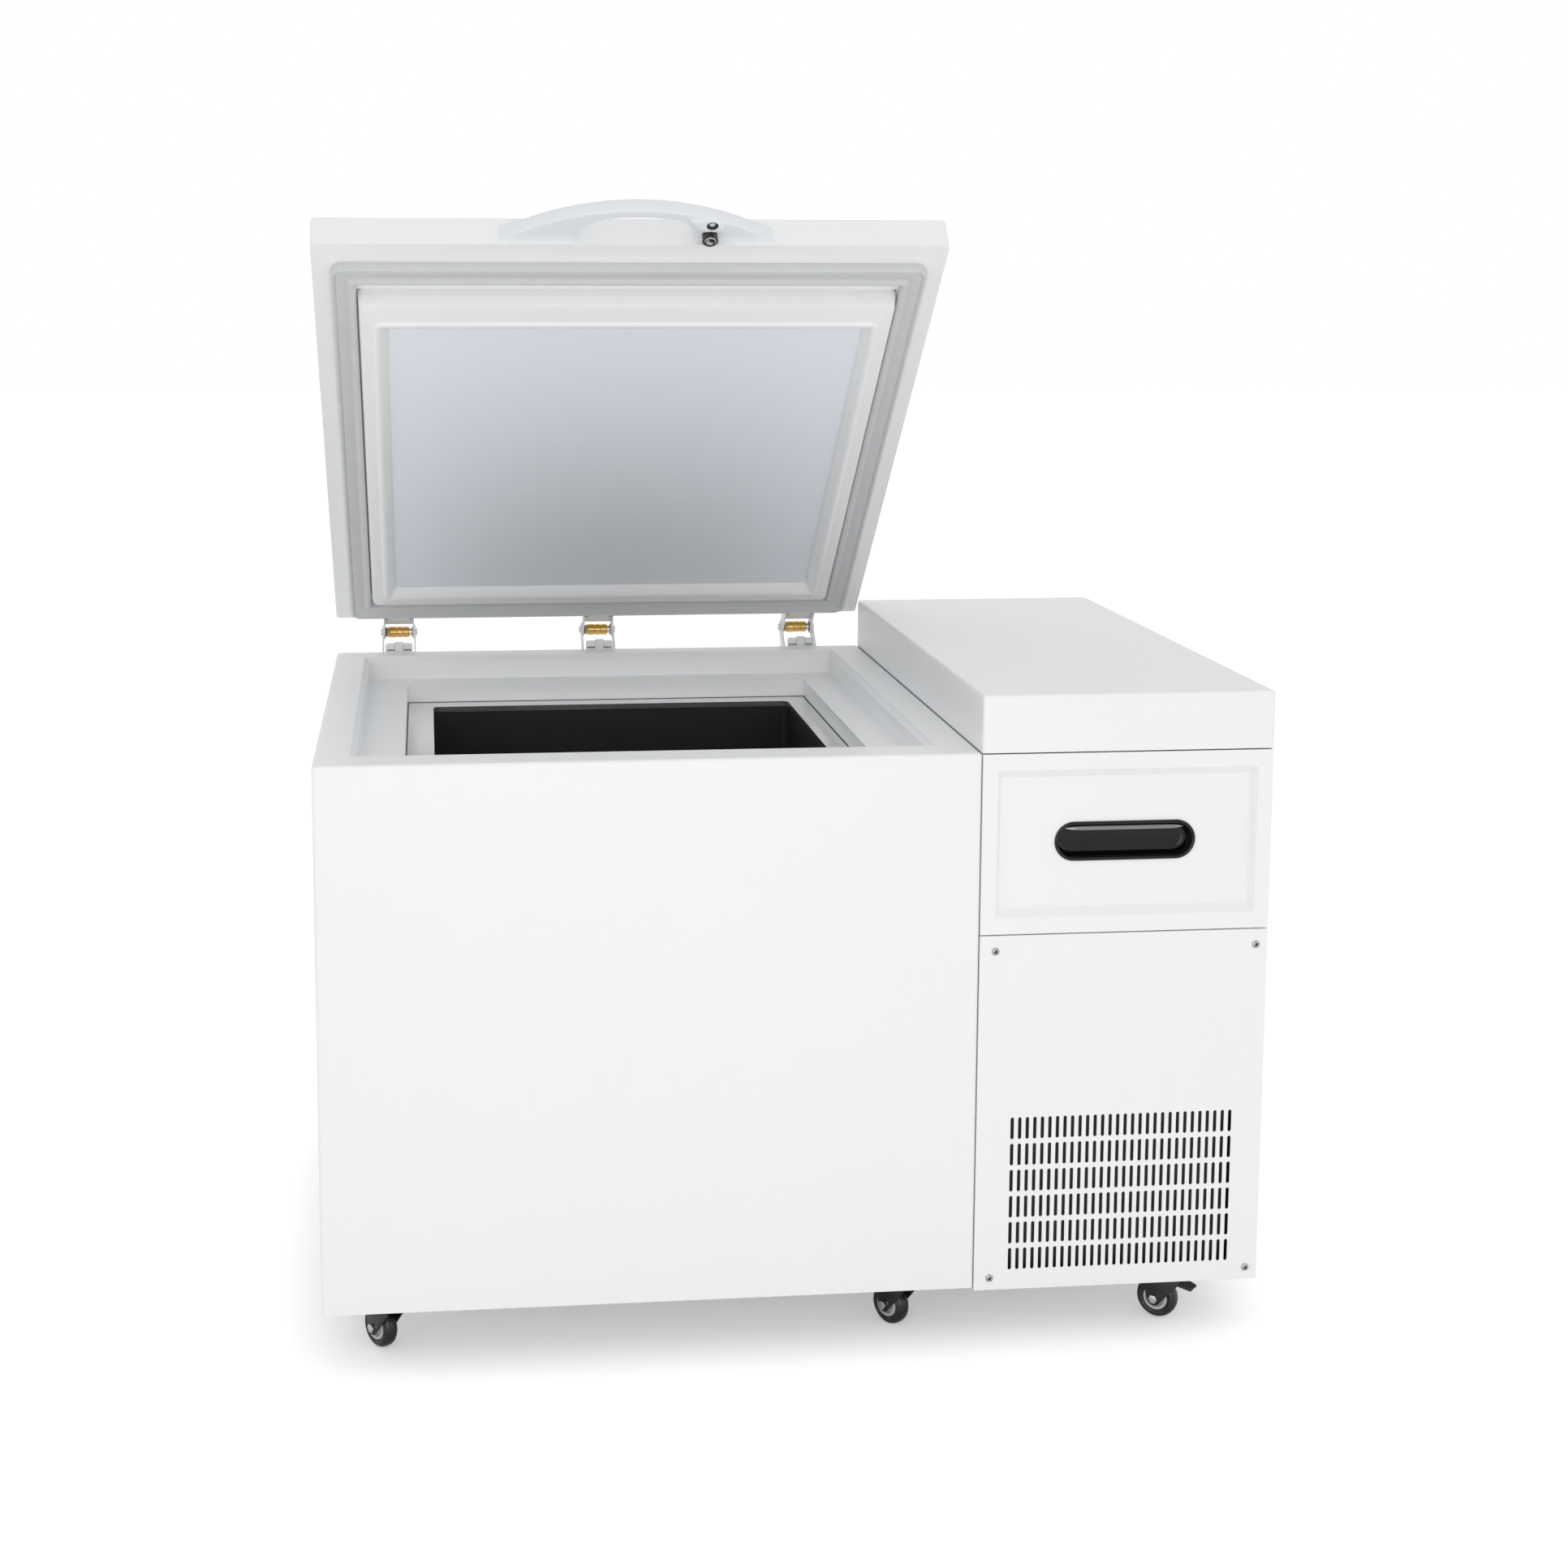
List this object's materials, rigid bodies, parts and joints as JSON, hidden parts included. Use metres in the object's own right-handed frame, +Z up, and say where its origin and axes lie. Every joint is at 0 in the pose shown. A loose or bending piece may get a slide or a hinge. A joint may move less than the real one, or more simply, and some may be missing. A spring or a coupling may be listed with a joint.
{
  "type": "low temperature chest freezer",
  "caption": "Chest freezer on casters with a hinged plug lid, an arched locking handle and a side machine bay with a drawer above a slotted front panel.",
  "frame": {"origin": "on the floor under the middle of the whole machine, with the lid partly open as in the picture", "axes": "+Z up, -Y out of the front, +X towards the machine bay"},
  "size_m": [1.432, 1.14, 1.7348],
  "materials": {
    "body_white": "satin",
    "white_plastic": "satin",
    "foam": "matte",
    "stainless": "satin",
    "black_liner": "matte",
    "copper": "satin",
    "galvanised": "satin",
    "frame_grey": "satin",
    "zinc": "satin",
    "black_metal": "satin",
    "black_gloss": "gloss",
    "black_plastic": "matte",
    "fins": "satin",
    "black_sleeve": "matte",
    "grey_plastic": "matte",
    "screw_chrome": "polished",
    "hinge_white": "satin",
    "brass": "polished",
    "gasket_grey": "matte",
    "pale_blue": "satin",
    "handle_grey": "satin",
    "wheel_black": "satin"
  },
  "bodies": {
    "cabinet": {"cabinet_wrap": "body_white", "cabinet_floor": "galvanised", "cabinet_foam": "foam", "recess_frame": "white_plastic", "chamber_collar": "stainless", "chamber_liner": "black_liner", "evaporator_coil": "copper", "bay_frame": "frame_grey", "bay_base": "galvanised", "bay_side_panel": "body_white", "bay_back_panel": "body_white", "bay_cap": "body_white", "front_panel": "body_white", "panel_screws": "screw_chrome", "drawer_rails": "zinc", "condenser": "fins", "fan_shroud": "black_metal", "fan_motor": "black_metal", "compressor_high_stage": "black_metal", "compressor_low_stage": "black_metal", "heat_exchanger": "black_sleeve", "filter_drier": "copper", "refrigerant_pipes": "copper", "control_box": "grey_plastic", "cable_gland": "black_plastic", "caster_plates": "zinc", "hinge_lower_brackets": "hinge_white", "hinge_pins": "screw_chrome", "hinge_lower_screws": "screw_chrome"},
    "lid": {"lid_shell": "body_white", "lid_plug_frame": "white_plastic", "lid_inner_panel": "pale_blue", "lid_foam": "foam", "lid_gasket": "gasket_grey", "lid_handle": "handle_grey", "lock_housing": "handle_grey", "hinge_upper_brackets": "hinge_white", "hinge_barrels": "brass", "hinge_upper_screws": "screw_chrome"},
    "lock_cylinder": {"lock_cylinder": "black_plastic"},
    "lock_bolt": {"lock_bolt": "screw_chrome"},
    "drawer": {"drawer_front": "body_white", "drawer_pull": "black_gloss", "drawer_tray": "galvanised", "drawer_slides": "zinc"},
    "fan": {"fan_rotor": "black_plastic"},
    "brake_pedal": {"caster_brake_pedal": "zinc"},
    "fork_front_left": {"caster_fork_front_left": "black_metal"},
    "wheel_front_left": {"caster_wheel_front_left": "wheel_black"},
    "fork_front_right": {"caster_fork_front_right": "black_metal"},
    "wheel_front_right": {"caster_wheel_front_right": "wheel_black"},
    "fork_rear_left": {"caster_fork_rear_left": "black_metal"},
    "wheel_rear_left": {"caster_wheel_rear_left": "wheel_black"},
    "fork_rear_right": {"caster_fork_rear_right": "black_metal"},
    "wheel_rear_right": {"caster_wheel_rear_right": "wheel_black"},
    "fork_bay_front": {"caster_fork_bay_front": "black_metal"},
    "wheel_bay_front": {"caster_wheel_bay_front": "wheel_black"},
    "fork_bay_rear": {"caster_fork_bay_rear": "black_metal"},
    "wheel_bay_rear": {"caster_wheel_bay_rear": "wheel_black"}
  },
  "joints": [
    {"name": "lid_hinge", "type": "hinge", "parent": "cabinet", "child": "lid", "pos_m": [0, 0.5555, 0.947], "axis": [-1, 0, 0], "range_deg": [-40.5, 37.5]},
    {"name": "key_turn", "type": "hinge", "parent": "lid", "child": "lock_cylinder", "pos_m": [-0.1085, -0.32429, 1.69841], "axis": [0, 0.6494, 0.7604], "range_deg": [0, 90]},
    {"name": "bolt_slide", "type": "slide", "parent": "lid", "child": "lock_bolt", "axis": [0, -0.6494, -0.7604], "range_m": [0, 0.006]},
    {"name": "drawer_slide", "type": "slide", "parent": "cabinet", "child": "drawer", "axis": [0, -1, 0], "range_m": [0, 0.34]},
    {"name": "fan_spin", "type": "hinge", "parent": "cabinet", "child": "fan", "pos_m": [0.4925, -0.4605, 0.229], "axis": [0, 1, 0], "continuous": true},
    {"name": "swivel_front_left", "type": "hinge", "parent": "cabinet", "child": "fork_front_left", "pos_m": [-0.618, -0.5005, 0.07], "axis": [0, 0, 1], "continuous": true},
    {"name": "roll_front_left", "type": "hinge", "parent": "fork_front_left", "child": "wheel_front_left", "pos_m": [-0.63062, -0.48248, 0.0325], "axis": [-0.8192, -0.5736, 0], "continuous": true},
    {"name": "swivel_front_right", "type": "hinge", "parent": "cabinet", "child": "fork_front_right", "pos_m": [0.171, -0.5005, 0.07], "axis": [0, 0, 1], "continuous": true},
    {"name": "roll_front_right", "type": "hinge", "parent": "fork_front_right", "child": "wheel_front_right", "pos_m": [0.15902, -0.48205, 0.0325], "axis": [-0.8387, -0.5446, 0], "continuous": true},
    {"name": "swivel_rear_left", "type": "hinge", "parent": "cabinet", "child": "fork_rear_left", "pos_m": [-0.618, 0.4255, 0.07], "axis": [0, 0, 1], "continuous": true},
    {"name": "roll_rear_left", "type": "hinge", "parent": "fork_rear_left", "child": "wheel_rear_left", "pos_m": [-0.62552, 0.44617, 0.0325], "axis": [-0.9397, -0.342, 0], "continuous": true},
    {"name": "swivel_rear_right", "type": "hinge", "parent": "cabinet", "child": "fork_rear_right", "pos_m": [0.171, 0.4255, 0.07], "axis": [0, 0, 1], "continuous": true},
    {"name": "roll_rear_right", "type": "hinge", "parent": "fork_rear_right", "child": "wheel_rear_right", "pos_m": [0.15033, 0.43302, 0.0325], "axis": [-0.342, -0.9397, 0], "continuous": true},
    {"name": "swivel_bay_front", "type": "hinge", "parent": "cabinet", "child": "fork_bay_front", "pos_m": [0.598, -0.5145, 0.07], "axis": [0, 0, 1], "continuous": true},
    {"name": "roll_bay_front", "type": "hinge", "parent": "fork_bay_front", "child": "wheel_bay_front", "pos_m": [0.58115, -0.50036, 0.0325], "axis": [-0.6428, -0.766, 0], "continuous": true},
    {"name": "swivel_bay_rear", "type": "hinge", "parent": "cabinet", "child": "fork_bay_rear", "pos_m": [0.598, 0.4395, 0.07], "axis": [0, 0, 1], "continuous": true},
    {"name": "roll_bay_rear", "type": "hinge", "parent": "fork_bay_rear", "child": "wheel_bay_rear", "pos_m": [0.59231, 0.46075, 0.0325], "axis": [-0.9659, -0.2588, 0], "continuous": true},
    {"name": "brake_press", "type": "hinge", "parent": "fork_bay_front", "child": "brake_pedal", "pos_m": [0.60719, -0.52221, 0.064], "axis": [0.6428, 0.766, 0], "range_deg": [0, 12]}
  ],
  "couplings": [
    {"joint": "key_turn", "follows": "bolt_slide", "rad_per_m": 261.8}
  ]
}
